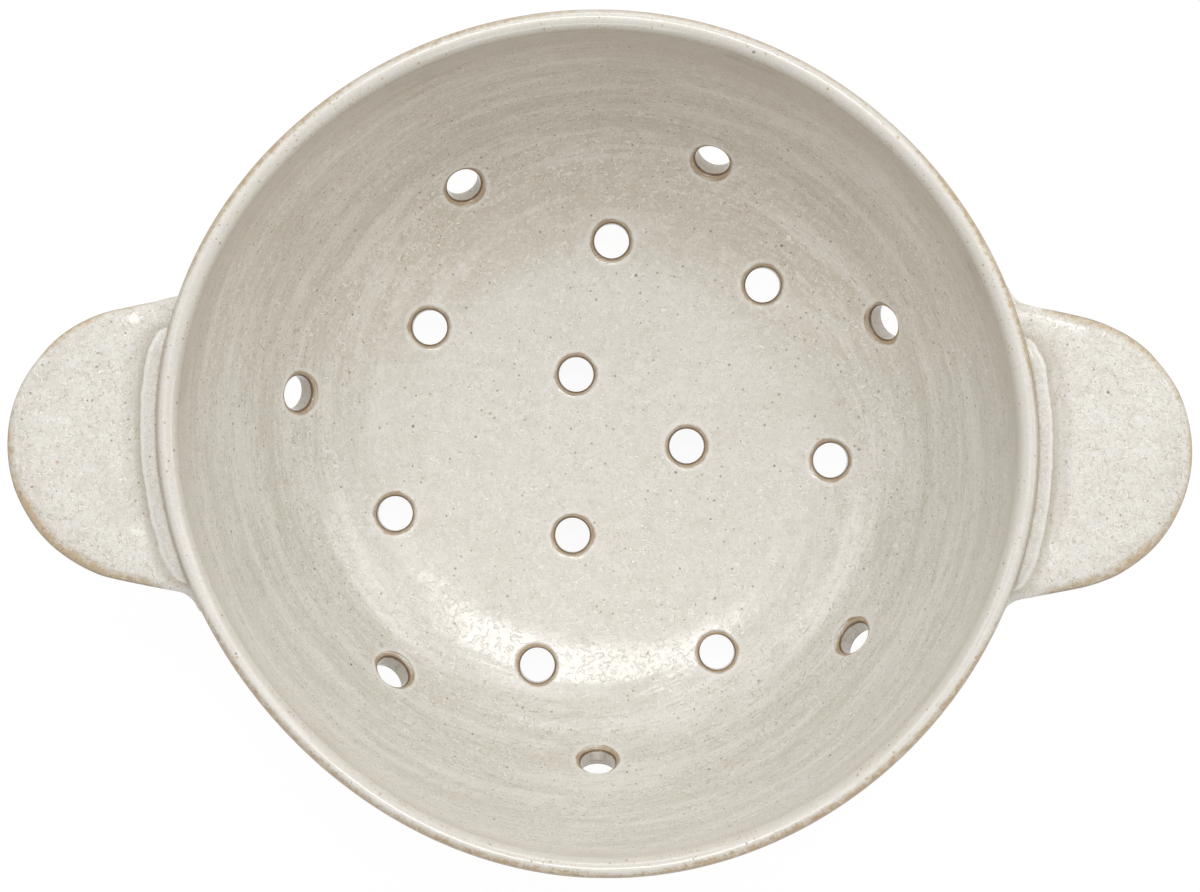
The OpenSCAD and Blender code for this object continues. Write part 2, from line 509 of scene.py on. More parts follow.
def holeRun(piece):
    # The way out from the nearest hole's edge, or down its bore as a minus
    points = readPoints(piece)
    far = marks["run"] / 2
    made = np.full(len(points), far)
    for angle, inPlace, inSlope, outPlace, outSlope in drills:
        x, y = cos(radians(angle)), sin(radians(angle))
        runs = []
        for place, slope, side in ((inPlace, inSlope, 1), (outPlace, outSlope, -1)):
            lean = radians(slope)
            out = side * np.array((-sin(lean) * x, -sin(lean) * y, cos(lean)))
            offset = points - np.array((place[0] * x, place[0] * y, place[1]))
            rise = offset @ out
            apart = np.linalg.norm(offset - rise[:, None] * out, axis=1)
            near = np.linalg.norm(offset, axis=1) < holes["markReach"]
            runs.append(np.where(near, apart - holes["radius"] + np.minimum(rise, 0), far))
        made = np.minimum(made, np.maximum(*runs))
    return made


# Where the glaze has drawn back from the rim: angle, spread in degrees, width of the bare clay
rimBare = (
    (26, 20, 1.15 * mm), (68, 24, 0.55 * mm), (108, 16, 0.90 * mm), (141, 20, 1.05 * mm),
    (222, 22, 1.15 * mm), (256, 20, 1.30 * mm), (302, 34, 1.40 * mm),
)
leastBare = dict(rim=0.15 * mm, handle=0.25 * mm)


def widenBare(bare, away, width):
    # Takes in one patch, whose middle is so many spreads away
    return np.maximum(bare, width * np.exp(-(away ** 4)))


def lipRun(piece):
    # The way in from the lip's outer edge, or down the outside as a minus
    points, normals = readPoints(piece), readNormals(piece)
    x, y, angle, radius = aroundPot(points)
    edge = rimRadius * outFromRound(angle, lipWidest)
    flat, outside = np.abs(normals[:, 2]) > 0.7, normals[:, 0] * x + normals[:, 1] * y > 0
    outward = np.where(flat, normals[:, 2] < 0, outside)
    under = points[:, 2] - lipWidest
    run = np.where(outward & (under < 0), under, edge - radius)
    bare = np.full(len(points), leastBare["rim"])
    for middle, spread, width in rimBare:
        apart = np.abs((np.degrees(angle) - middle + 180) % 360 - 180)
        bare = widenBare(bare, apart / spread, width)
    return run, bare


def makeBowl():
    inside = [place for place in insideShape(bowl["fineness"]) if place[1] < lipInnerFoot]
    line = (
        shellLine(bowl["wallThick"], underside, bowl["fineness"])
        + lipOuterLine(0) + lipInnerLine() + list(reversed(inside))
    )
    line[0] = np.array((0, line[0][1]))
    line[-1] = np.array((0, line[-1][1]))
    piece = throwOnWheel("bowlShell", line)
    drillHoles(piece)
    writeRun(piece, "holeRun", holeRun(piece))
    throwingRings(piece)
    pushOutOfRound(piece)
    writeEdge(piece, *lipRun(piece))
    return piece


handles = dict(
    tipRadius=26.3 * mm,
    tipSides=120,
    flare=12.0,  # how the sides spread towards the bowl, degrees
    sideShares=(0.25, 0.5, 0.75, 1),
    sideEnd=80.6 * mm,  # where the sides turn into the root fillets, from the axis
    filletEnd=74.0,
    filletSteps=8,
    rootStep=Vector((-3.0 * mm, 2.0 * mm)),  # from the fillet into the wall
    rootEnd=66 * mm,  # from the axis
    edgeRound=2.7 * mm,
    edgeSteps=7,
    voxel=0.42 * mm,
    softening=(0.5, 6),  # of the voxels: factor and rounds
    slip=0.4 * mm,
    dip=0.75 * mm,  # pressed in beside the seam
    dipPlace=1.3 * mm,  # out from the coil's edge
    dipReach=2.0 * mm,
    dipBack=(15 * mm, 26 * mm),  # where it fades at the back
    dipFront=(8 * mm, 29 * mm),
    belly=1.8 * mm,  # how much fuller the underside is at the wall
    bellyEnd=(80 * mm, 90 * mm),  # from the axis
    bellySides=(20 * mm, 30 * mm),
    pillow=0.45 * mm,  # how far the top falls towards the edge
    pillowReach=6.5 * mm,
    waves=((90, 60, 0.22), (320, 200, 0.05)),  # in the surface: scale along and up, size in mm
    tipRoom=(3 * mm, 0.1 * mm),  # where it is kept even, towards the plan's end
    glazedRoot=(77 * mm, 86 * mm),
    glazedExtra=6 * mm,
    runHeight=0.6 * mm,  # past the round edge, where the glaze's way starts
)
leftSide = dict(
    node="left", turn=180.3, fillets=(5.0 * mm, 2.2 * mm), coil=3.7 * mm, coilRise=0.68 * mm,
    coilShift=0.03, seed=3.7,
    # Where the glaze has drawn back from the edge: x, y, spread, width of the bare clay
    bare=(
        (-100.5, 20.5, 7.5, 1.1), (-110.6, -2.5, 8, 1.1), (-107.5, -14.5, 8, 2.1), (-100, -23.2, 8, 2.2),
        (-91, -27.5, 8, 1.4), (-84, -29.5, 6, 1.0), (-93, 25.0, 6, 0.45),
    ),
)
rightSide = dict(
    node="right", turn=-1.3, fillets=(4.2 * mm, 4.2 * mm), coil=3.3 * mm, coilRise=0.78 * mm,
    coilShift=-0.03, seed=9.2,
    bare=(
        (86, 24.5, 5, 1.0), (93, 21.5, 8, 1.3), (101, 17.5, 8, 1.2), (107, 10.8, 6, 0.8), (111, -2, 6, 0.9),
        (109, -13, 6, 1.1), (102.5, -22.2, 8, 1.9), (94, -27.2, 7, 1.6), (86.5, -29.5, 5, 0.9),
    ),
)
coils = dict(
    sides=44,
    steps=240,
    sunk=0.5 * mm,  # its middle, under the handle's top
    longer=3 * mm,  # than the plan's
    thinEnds=(0.55, 0.60),  # by how much, and from what share of the way to an end
    sinkEnds=(0.25 * mm, 0.72),
    leastTall=0.2 * mm,
    fadeEnds=(0.80, 1.12),
    edge=0.97,  # the share of its radius where it meets the handle's top
)
encloserSize = dict(lid=12 * mm, turns=192)


def makeEncloser(name, grow):
    # All that the bowl's outside encloses, to fit the handles against
    line = shellLine(bowl["wallThick"] + grow, underside - grow) + lipOuterLine(grow)
    line = [np.array((0, line[0][1]))] + line[1:]
    lid = encloserSize["lid"]
    line += [line[-1] + np.array((0, lid)), np.array((0, line[-1][1] + lid))]
    piece = throwOnWheel(name, line, turns=encloserSize["turns"])
    pushOutOfRound(piece)
    return piece


def sideLine(side, fillet):
    # One side of the tongue, from the round tip to inside the wall
    flare = radians(handles["flare"])
    leave = Vector((tipCentre, 0)) + handles["tipRadius"] * Vector((sin(flare), cos(flare)))
    end = Vector((handles["sideEnd"], leave.y + (leave.x - handles["sideEnd"]) * tan(flare)))
    made = [leave.lerp(end, share) for share in handles["sideShares"]]
    for i in range(1, handles["filletSteps"] + 1):
        turn = flare + (radians(handles["filletEnd"]) - flare) * i / handles["filletSteps"]
        made.append(end + fillet * Vector((sin(flare) - sin(turn), cos(flare) - cos(turn))))
    made.append(made[-1] + handles["rootStep"])
    made.append(Vector((handles["rootEnd"], made[-1].y)))
    return [(place.x, side * place.y) for place in made]


def makeHandleBlank(side):
    low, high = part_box(side["node"] + "_handle")
    near, margin = 0.01 * mm, 0.2 * mm
    circle = dict(vertices=handles["tipSides"], radius=handles["tipRadius"])
    piece = addShape("circle", side["node"] + "Handle", location=(tipCentre, 0, high.z), **circle)
    leave = tipCentre + handles["tipRadius"] * sin(radians(handles["flare"]))
    editMode(piece)
    pick(piece, lambda v: v.co.x < leave - margin)
    bpy.ops.mesh.delete(type="VERT")
    for way, fillet in zip((1, -1), side["fillets"]):
        ends = [v for v in bmesh.from_edit_mesh(piece.data).verts if len(v.link_edges) == 1]
        end = min((v for v in ends if v.co.y * way > 0), key=lambda v: v.co.x).co.copy()
        pick(piece, lambda v: (v.co - end).length < near)
        extrudeAlong([(end.x, end.y)] + sideLine(way, fillet), upright=False)
    selectWhole()
    bpy.ops.mesh.edge_face_add()
    extrudeBy(0, 0, low.z - high.z)
    faceOutward()
    bpy.ops.mesh.select_mode(type="EDGE")
    pick(piece, lambda e: abs(e.verts[0].co.z - e.verts[1].co.z) < near, "edges")
    bpy.ops.mesh.bevel(
        offset=handles["edgeRound"], segments=handles["edgeSteps"], profile=0.5,
        affect="EDGES", clamp_overlap=True,
    )
    objectMode()
    modify(piece, "REMESH", mode="VOXEL", voxel_size=handles["voxel"])
    factor, rounds = handles["softening"]
    modify(piece, "SMOOTH", factor=factor, iterations=rounds)
    shapeHandle(piece, side, low.z, high.z)
    piece.data.transform(Matrix.Rotation(radians(side["turn"]), 4, "Z"))
    piece.data.transform(Matrix.Translation((0, outOfRound["offCentre"], 0)))
    piece.data.update()
    return piece


def edgeDistance(x, y):
    # The way in from the tongue's outline, before the handle is turned to its side
    flare = radians(handles["flare"])
    across, along = np.abs(y), x - tipCentre
    straight = handles["tipRadius"] - (along * sin(flare) + across * cos(flare))
    onTip = np.arctan2(across, along) < pi / 2 - flare
    return np.where(onTip, handles["tipRadius"] - np.hypot(along, across), straight)


def coilCorner(side):
    # Where the wall meets the handle's top, and half the angle that the coil runs round it
    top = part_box(side["node"] + "_handle")[1].z
    coilLow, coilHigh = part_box(side["node"] + "_seam_coil")
    radius = wallCentre[0] + sqrt((wallRadius + bowl["wallThick"]) ** 2 - (wallCentre[1] - top) ** 2)
    return top, radius, asin((coilHigh.y - coilLow.y + coils["longer"]) / 2 / radius)


def coilWidth(side, angle, span):
    # Its share of the full width: uneven, and thinner towards the ends
    share = np.abs(angle / span)
    wander = 1 + 0.08 * noiseAt(angle * 24, side["seed"], 0) + 0.03 * noiseAt(angle * 80, side["seed"], 4)
    thin, start = coils["thinEnds"]
    return wander * (1 - thin * between(start, 1, share)) * np.sqrt(np.clip(1.004 - share ** 12, 0.004, 1))


def pastCoil(side, x, y):
    # The way out from the coil's edge, before the handle is turned to its side
    top, corner, span = coilCorner(side)
    angle = np.arctan2(y, x)
    along = np.clip(angle - side["coilShift"], -coils["edge"] * span, coils["edge"] * span)
    edge = corner + coils["edge"] * side["coil"] * coilWidth(side, along, span)
    return np.hypot(x, y) - edge * outFromRound(angle + radians(side["turn"]), top)


def beforeTurn(side, points):
    # The x and y that finished points had before that turn
    turn = radians(side["turn"])
    x, y, *_ = aroundPot(points)
    return x * cos(turn) + y * sin(turn), y * cos(turn) - x * sin(turn)


def creaseRun(piece, side):
    # The same on a finished piece, and far off where the coil has ended
    x, y = beforeTurn(side, readPoints(piece))
    share = np.abs(np.arctan2(y, x) - side["coilShift"]) / coilCorner(side)[2]
    return pastCoil(side, x, y) + marks["run"] / 2 * between(*coils["fadeEnds"], share)


def shapeHandle(piece, side, low, high):
    # Pillowed top, thumbed dip beside the seam, fuller underside at the wall, uneven edge
    points, normals = readPoints(piece), readNormals(piece)
    x, y, z = points.T
    upper = between((low + high) / 2, high, z)
    lower = 1 - between(low, (low + high) / 2, z)
    inside = np.clip(edgeDistance(x, y) / handles["pillowReach"], 0, 1)
    z -= handles["pillow"] * (1 - inside) ** 2 * upper
    back = y * cos(radians(side["turn"]))
    away = (pastCoil(side, x, y) - handles["dipPlace"]) / handles["dipReach"]
    dip = np.exp(-(away ** 2)) * (1 - between(*handles["dipBack"], back))
    dip *= 1 - between(*handles["dipFront"], -back)
    z -= handles["dip"] * dip * upper
    belly = handles["belly"] * lower * (1 - between(*handles["bellyEnd"], x))
    z -= belly * (1 - between(*handles["bellySides"], np.abs(y)))
    uneven = sum(
        noiseAt(x * along, y * along, z * up + side["seed"]) * size for along, up, size in handles["waves"]
    )
    fade, gone = handles["tipRoom"]
    room = between(0, fade, (cadHigh.x - gone) - x)
    points += normals * (uneven * mm * room)[:, None]
    np.minimum(x, cadHigh.x, out=x)
    writePoints(piece, points)


def handleRun(piece, side):
    # The way in over the top or underside, or to the middle height as a minus
    points = readPoints(piece)
    x, y, z = points.T
    low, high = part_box(side["node"] + "_handle")
    inward = edgeDistance(*beforeTurn(side, points))
    inward += handles["glazedExtra"] * (1 - between(*handles["glazedRoot"], np.abs(x)))
    start = (high.z - low.z) / 2 - handles["edgeRound"] + handles["runHeight"]
    run = inward - np.maximum(0, start - np.abs(z - (high.z + low.z) / 2))
    bare = np.full(len(points), leastBare["handle"])
    for middleX, middleY, spread, width in side["bare"]:
        apart = np.hypot(x / mm - middleX, y / mm - middleY)
        bare = widenBare(bare, apart / spread, width * mm)
    return run, bare


def makeCoil(side):
    # A flattened coil pressed into the corner over the handle, with a ragged edge and thin ends
    top, cornerRadius, span = coilCorner(side)
    middle = top - coils["sunk"]
    piece = addShape(
        "circle", side["node"] + "SeamCoil", vertices=coils["sides"], radius=side["coil"],
        location=(cornerRadius, 0, middle), rotation=(pi / 2, 0, 0),
    )
    editMode(piece)
    selectWhole()
    bpy.ops.transform.rotate(value=span, orient_axis="Z", center_override=(0, 0, 0))
    bpy.ops.mesh.spin(steps=coils["steps"], angle=2 * span, center=(0, 0, 0), axis=(0, 0, 1))
    weld(0.001 * mm)
    bpy.ops.mesh.select_all(action="DESELECT")
    bpy.ops.mesh.select_non_manifold()
    bpy.ops.mesh.edge_face_add()
    closeMesh()
    points = readPoints(piece)
    x, y, z = points.T
    angle = np.arctan2(y, x)
    angle = angle - (angle.max() + angle.min()) / 2
    wide = coilWidth(side, angle, span)
    out = (np.hypot(x, y) - cornerRadius) / side["coil"]
    up = (z - middle) / side["coil"]
    square = 1 / (np.abs(out) ** 3 + np.abs(up) ** 3) ** (1 / 3)
    deeper, start = coils["sinkEnds"]
    sink = (side["coilRise"] + deeper) * between(start, 1, np.abs(angle / span))
    tall = (coils["sunk"] + side["coilRise"]) * (0.5 + 0.5 * wide) - sink
    angle = angle + side["coilShift"]
    distance = cornerRadius + out * square * side["coil"] * wide
    x[:], y[:] = np.cos(angle) * distance, np.sin(angle) * distance
    z[:] = middle + up * square * np.maximum(tall, coils["leastTall"])
    writePoints(piece, points)
    piece.data.transform(Matrix.Rotation(radians(side["turn"]), 4, "Z"))
    piece.data.update()
    pushOutOfRound(piece)
    return piece


def seamRun(piece):
    # The way out from the wall, for the thin brown line in the fold: bare clay and painted shade in the
    # crease
    x, y, angle, radius = aroundPot(readPoints(piece))
    edge = rimRadius * outFromRound(angle, lipWidest)
    return radius - edge, (0.22 + 0.25 * noiseAt(angle * 25, 3.0, 0)) * mm


def makeSide(side, encloser, slipEncloser):
    handle = makeHandleBlank(side)
    slip = copyOf(handle, side["node"] + "SlipJoint")
    coil = makeCoil(side)
    cutBy(coil, handle, keep=True)
    cutBy(coil, encloser, keep=True)
    coil = keepLargest(coil)
    cutBy(handle, slipEncloser, keep=True)
    cutBy(slip, slipEncloser, "INTERSECT", keep=True)
    cutBy(slip, encloser, keep=True)
    writeEdge(handle, *handleRun(handle, side))
    writeEdge(coil, *seamRun(coil))
    for piece in (handle, coil):
        writeRun(piece, "pastCoil", creaseRun(piece, side))
    return handle, slip, coil


foot = dict(
    outer=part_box("foot_ring")[1].x,
    width=5.0 * mm,
    flare=0.8 * mm,
    edge=1.1 * mm,
    edgeSteps=5,
    topSteps=(8, 12),  # of the ring's top, and of the slip's
    slip=0.4 * mm,
    bead=0.9 * mm,  # the slip's fillet beside the ring
    beadHollow=(0.15 * mm, 0.1 * mm),  # out from the ring and down
)


def underBowl(radius, drop=0.0):
    place = crossing(outsideLine, np.array((radius, -1.0)), np.array((0.0, 1.0)))[0]
    return np.array((radius, place[1] - drop))


def acrossUnder(start, end, steps, drop=0.0):
    # Between two radii, without the ends
    return [underBowl(start + (end - start) * i / steps, drop) for i in range(1, steps)]


def makeFoot():
    edge, slip, bead = foot["edge"], foot["slip"], foot["bead"]
    outer = foot["outer"] - foot["flare"]
    inner = outer - foot["width"]
    topOuter, topInner = outer + foot["flare"], inner - foot["flare"]
    ringSteps, slipSteps = foot["topSteps"]
    line = [
        underBowl(topInner, slip),
        *arcRun((inner + edge, edge), edge, 270, 360, foot["edgeSteps"]),
        *arcRun((outer - edge, edge), edge, 0, 90, foot["edgeSteps"]),
        underBowl(topOuter, slip),
        *acrossUnder(topOuter, topInner, ringSteps, slip),
        underBowl(topInner, slip),
    ]
    ring = throwOnWheel("footRing", line, closed=True)
    aside, down = foot["beadHollow"]
    hollow = 0.55 * slip + down
    line = [
        underBowl(topInner - bead),
        underBowl(topInner, hollow) - (aside, 0),
        underBowl(topInner, slip),
        *acrossUnder(topInner, topOuter, ringSteps, slip),
        underBowl(topOuter, slip),
        underBowl(topOuter, hollow) + (aside, 0),
        underBowl(topOuter + bead),
        *acrossUnder(topOuter + bead, topInner - bead, slipSteps),
        underBowl(topInner - bead),
    ]
    joint = throwOnWheel("footSlipJoint", line, closed=True)
    for piece in (ring, joint):
        piece.data.transform(Matrix.Translation((0, outOfRound["offCentre"], 0)))
    return ring, joint


print("throwing the bowl")
bowlShell = makeBowl()
print("  bowl faces", len(bowlShell.data.polygons))

print("luting the handles")
tipCentre = cadHigh.x - handles["tipRadius"]
encloser = makeEncloser("encloser", 0)
slipEncloser = makeEncloser("slipEncloser", handles["slip"])
leftHandle, leftSlip, leftCoil = makeSide(leftSide, encloser, slipEncloser)
rightHandle, rightSlip, rightCoil = makeSide(rightSide, encloser, slipEncloser)
discard(encloser, slipEncloser)

print("turning the foot")
footRing, footSlip = makeFoot()


# Material tools. They add nodes to the tree in hand, and a coat covers the colour in hand.
hand = dict(tree=None, colour=None)


def startTree(owner):
    owner.use_nodes = True
    hand["tree"] = owner.node_tree
    return owner.node_tree.nodes


def newMaterial(name):
    made = bpy.data.materials.new(name)
    return made, startTree(made)["Principled BSDF"]


def plug(socket, value):
    if isinstance(value, bpy.types.NodeSocket):
        hand["tree"].links.new(value, socket)
    else:
        socket.default_value = value


def addNode(kind, inputs=None, **settings):
    made = hand["tree"].nodes.new("ShaderNode" + kind)
    for key, value in settings.items():
        setattr(made, key, value)
    for key, value in (inputs or {}).items():
        plug(made.inputs[key], value)
    return made


def calc(operation, a, b=0.0, **settings):
    return addNode("Math", {0: a, 1: b}, operation=operation, **settings).outputs[0]


def total(*parts):
    return reduce(partial(calc, "ADD"), parts)


def times(*parts):
    return reduce(partial(calc, "MULTIPLY"), parts)


def less(a, b):
    return calc("SUBTRACT", a, b)


def ease(value, low, high, toLow=0.0, toHigh=1.0):
    ends = {"Value": value, "From Min": low, "From Max": high, "To Min": toLow, "To Max": toHigh}
    return addNode("MapRange", ends, interpolation_type="SMOOTHSTEP").outputs[0]


def band(value, starts, ends):
    # 1 between two distances: it rises over starts, and falls over ends
    return times(ease(value, *starts), ease(value, ends[1], ends[0]))


def blend(share, first, second):
    return addNode("Mix", {0: share, 6: first, 7: second}, data_type="RGBA").outputs[2]


def coat(tone, *shares):
    hand["colour"] = blend(times(*shares), hand["colour"], glaze[tone])


def cloudy(place, scale, detail=2.0, rough=0.5, twist=0.0):
    settings = {"Vector": place, "Scale": scale, "Detail": detail, "Roughness": rough, "Distortion": twist}
    return addNode("TexNoise", settings).outputs["Fac"]


def offMiddle(*settings):
    # A cloudy field about 0
    return less(cloudy(*settings), 0.5)


def splitUp(place):
    return addNode("SeparateXYZ", {0: place}).outputs


def combine(x, y, z=0.0):
    return addNode("CombineXYZ", {0: x, 1: y, 2: z}).outputs[0]


def stretched(place, scale, turn=0.0):
    return addNode("Mapping", {0: place, 2: (0, 0, turn), 3: scale}).outputs[0]


def turnedBy(place, turn):
    return stretched(place, (1.0, 1.0, 1.0), turn)


def millimetres():
    return stretched(addNode("TexCoord").outputs["Object"], (1000, 1000, 1000))


def turnedPlace(place, around, up, spiral=0.0):
    # The place unrolled round the axis: the angle as a circle, and radius plus height
    x, y, z = splitUp(place)
    flat = combine(x, y)
    radius = addNode("VectorMath", {0: flat}, operation="LENGTH").outputs["Value"]
    unit = addNode("VectorMath", {0: flat}, operation="NORMALIZE").outputs[0]
    run = total(radius, z)
    turn = {"Vector": unit, "Angle": times(run, spiral)}
    x, y, z = splitUp(addNode("VectorRotate", turn, rotation_type="Z_AXIS").outputs[0])
    return radius, combine(times(x, around), times(y, around), times(run, up))


def spots(place, scale, share, size, soft):
    # Round spots in some of a grid's cells, each cell its own size
    cell = addNode("TexVoronoi", {"Vector": place, "Scale": scale, "Randomness": 1.0})
    chance = addNode("SeparateColor", {0: cell.outputs["Color"]}).outputs
    there = calc("LESS_THAN", chance[0], share)
    sizes = {0: chance[1], 1: size * scale, 2: size * scale * 0.4}
    wide = addNode("Math", sizes, operation="MULTIPLY_ADD").outputs[0]
    return times(ease(calc("DIVIDE", cell.outputs["Distance"], wide), 1.0, 1.0 - soft), there)


def strokes(place, scale, width, share):
    # Curled hairlines and the lighter lines beside them: levels of one noise where another is high
    curled = cloudy(place, scale, 1.0, 0.4, 0.3)
    kept = ease(cloudy(place, scale * 0.83, 0.0), share, share + 0.05)
    lines = [calc("ABSOLUTE", less(curled, level)) for level in (0.5, 0.5 + 1.5 * width)]
    return [times(ease(line, width, 0.0), kept) for line in lines]


def readMark(name, span, edge=0.0):
    amount = addNode("Attribute", attribute_name=name, attribute_type="GEOMETRY").outputs["Fac"]
    return times(less(amount, edge), span / mm)


def finishShader(shader, gloss, height):
    plug(shader.inputs["Base Color"], hand["colour"])
    plug(shader.inputs["Roughness"], gloss)
    bump = addNode("Bump", {"Strength": 1.0, "Distance": mm, "Height": height})
    plug(shader.inputs["Normal"], bump.outputs[0])


def colourOf(red, green, blue):
    # From a paint chart's 0-255 to a node's linear value
    shares = (value / 255 for value in (red, green, blue))
    return tuple(c / 12.92 if c <= 10 / 255 else ((c + 0.055) / 1.055) ** 2.4 for c in shares) + (1.0,)


glaze = dict(
    plain=colourOf(223, 219, 211),
    thin=colourOf(205, 199, 186),
    thick=colourOf(237, 234, 227),
    stroke=colourOf(176, 163, 140),
    shaded=colourOf(186, 176, 157),  # in the corner at the back
    warmShade=colourOf(214, 201, 180),  # painted warm shade on the wall at the back
    litFront=colourOf(218, 217, 212),  # painted lit tone on the wall at the front
    fleck=colourOf(146, 131, 107),
    rust=colourOf(188, 146, 98),
    iron=colourOf(104, 88, 66),
    buff=colourOf(207, 193, 169),  # clay showing through thin glaze
    tan=colourOf(182, 155, 118),
    lip=colourOf(221, 216, 206),
    umberAndShade=colourOf(146, 131, 109),  # the very edge: darker clay and painted shade
    recessShade=colourOf(172, 160, 142),  # painted shade under the lip, down the holes and beside the seam coil
    rim=colourOf(172, 147, 115),  # round a hole
    darkEdgeShadow=colourOf(104, 84, 60),  # painted shadow line on darker clay just inside a hole
    roughness=0.13,
    ior=1.6,
)
# Noises of the mottle, in millimetres: scale, detail, roughness
fields = dict(
    broad=(0.07, 3.0, 0.55), patch=(0.34, 2.0, 0.6), fine=(1.1, 3.0, 0.6), grain=(3.3, 1.0, 0.5),
)
# Noise, where it starts and is full, how much, tone, and whether the piece's own mottle counts
mottles = (
    ("patch", 0.50, 0.70, 0.32, "thin", True),
    ("patch", 0.48, 0.32, 0.32, "thick", False),
    ("fine", 0.50, 0.72, 0.42, "thin", True),
    ("fine", 0.50, 0.28, 0.55, "thick", False),
    ("grain", 0.52, 0.72, 0.50, "thin", False),
)
# Hairlines: scale, width, how rare, a turn of the noise, and how much of the dark and the light
hairlines = ((0.80, 0.040, 0.44, 0.0, 0.33, 0.62), (1.30, 0.062, 0.45, 0.9, 0.23, 0.48))
# Specks: scale, share of the cells, size, softness, how much, tone
specks = (
    (0.60, 0.66, 0.28, 0.7, 0.85, "fleck"),
    (0.28, 0.36, 0.36, 0.7, 0.70, "rust"),
    (0.24, 0.46, 0.34, 0.7, 0.85, "iron"),
)
# Marks of the wheel: scale, roughness, and each tone with its start, its full place and how much
wheelMarks = dict(
    long=((0.11, 0.11, 0.17), 0.5, (("thin", 0.50, 0.66, 0.36), ("thick", 0.50, 0.34, 0.40))),
    short=((0.72, 0.72, 0.85), 0.6, (("stroke", 0.54, 0.72, 0.26), ("thick", 0.47, 0.30, 0.28))),
)
# Bands along a mark or the radius, in millimetres: where each rises and is full, then falls and is gone
bands = dict(
    lip=((-3.0, -1.0), (4.0, 5.2)),
    lipRust=((2.8, 3.4), (3.9, 4.6)),
    shadeUnderLip=((3.1, 4.1), (4.4, 8.0)),
    lipEdge=((-1.8, -0.6), (0.1, 1.0)),
    corner=((33, 43), (54, 66)),
    shadeBesideCoil=((-0.10, 0.10), (0.2, 3.2)),
    coilEdgeHighlight=((-1.2, -0.5), (-0.35, -0.05)),
    halo=((0.8, 1.1), (1.3, 2.2)),
)
# What differs between the bowl (True) and the handles and seams (False)
bareEdge = {
    True: dict(soft=0.40, low=-1.5, tanFrom=0.40, tan=0.90, gloss=(4.8, 3.6, 1.0, 0.16)),
    False: dict(soft=0.80, low=-1.1, tanFrom=0.46, tan=0.68, gloss=(5.0, 3.0, 1.4, 1.1)),
}


def wheelPlaces(place, run):
    radius, streaks = turnedPlace(place, 24.0, 1.0, 0.05)
    back = splitUp(place)[1]
    return dict(
        radius=radius,
        streaks=streaks,
        onLip=band(run, *bands["lip"]),
        onWall=times(ease(radius, 34, 56), ease(run, 4.0, 5.5)),
        north=ease(back, -50, 40),
        behind=ease(back, 0, 40),
    )


def paintWallLight(at):
    # Painted light on the wall: painted shade in the corner at the back, warm painted shade on the back wall,
    # a cooler painted lit tone on the front wall
    coat("shaded", band(at["radius"], *bands["corner"]), at["behind"], 0.56)
    coat("warmShade", at["onWall"], at["behind"], 0.42)
    coat("litFront", at["onWall"], less(1.0, at["north"]), 0.50)


def drawHairlines(place, mottle, more):
    # Gives back the larger ones, for the bare edge and the relief
    pairs, darks, lights = [], [], []
    for scale, width, rare, turn, darkAmount, lightAmount in hairlines:
        dark, light = strokes(turnedBy(place, turn), scale, width, rare)
        pairs.append((dark, light))
        darks.append(times(dark, darkAmount * mottle))
        lights.append(times(light, lightAmount))
    coat("stroke", total(*darks), more)
    coat("thick", total(*lights), more)
    return pairs[0]


def markWall(at, run, height):
    made = {}
    for name, (scale, rough, tones) in wheelMarks.items():
        made[name] = cloudy(stretched(at["streaks"], scale), 1.0, 2.0, rough)
        for tone, low, high, amount in tones:
            coat(tone, ease(made[name], low, high, 0.0, amount), at["onWall"])
    coat("fleck", spots(stretched(at["streaks"], (1.0, 1.0, 0.8)), 0.34, 0.42, 0.30, 0.6), at["onWall"], 0.60)
    coat("lip", at["onLip"], 0.68)
    height = times(height, ease(run, 3.4, 4.8, 0.06, 1.0))  # the lip is smooth
    return total(height, times(made["short"], at["onWall"], -0.035), times(made["long"], at["onWall"], 0.16))


def stainAndShadeLip(place, at, run):
    patchy = ease(cloudy(place, 0.06, 1.0), 0.45, 0.60)
    coat("rust", spots(place, 1.3, 0.60, 0.28, 0.6), band(run, *bands["lipRust"]), patchy, 0.8)
    coat("rust", spots(place, 0.62, 0.50, 0.30, 0.6), at["onLip"], 0.7)
    # painted shade under the lip at the back
    coat("recessShade", band(run, *bands["shadeUnderLip"]), at["north"], 0.45)
    # the lip's very edge: darker clay and painted shade
    coat("umberAndShade", band(run, *bands["lipEdge"]), 0.40)


def ringHoles(place, ragged, blotch, gloss, height):
    # A pale halo, a bare tan edge, a painted shadow line on darker clay just inside each hole, and painted
    # shade down the bore
    hole = readMark("holeRun", marks["run"], 0.5)
    halo = band(hole, *bands["halo"])
    coat("thick", halo, 0.40)
    edge = total(hole, times(ragged, 0.35), times(offMiddle(place, 0.25, 1.0), 1.6))
    rim = times(ease(edge, 1.10, 0.50), ease(total(hole, times(ragged, 0.3)), -1.05, -0.65))
    coat("rim", rim, 0.90)
    coat("buff", rim, ease(blotch, 0.5, 0.72, 0.0, 0.55))
    # painted shadow line just inside the hole, on darker clay
    coat("darkEdgeShadow", ease(hole, 0.20, -0.20), ease(total(hole, times(ragged, 0.4)), -0.85, -0.5), 0.85)
    # painted shade down the bore
    coat("recessShade", ease(hole, -0.6, -1.2, 0.0, 0.55))
    gloss = total(gloss, times(rim, 0.06), times(halo, -0.04))
    return gloss, total(height, times(ease(edge, 1.3, 0.6), -0.07))


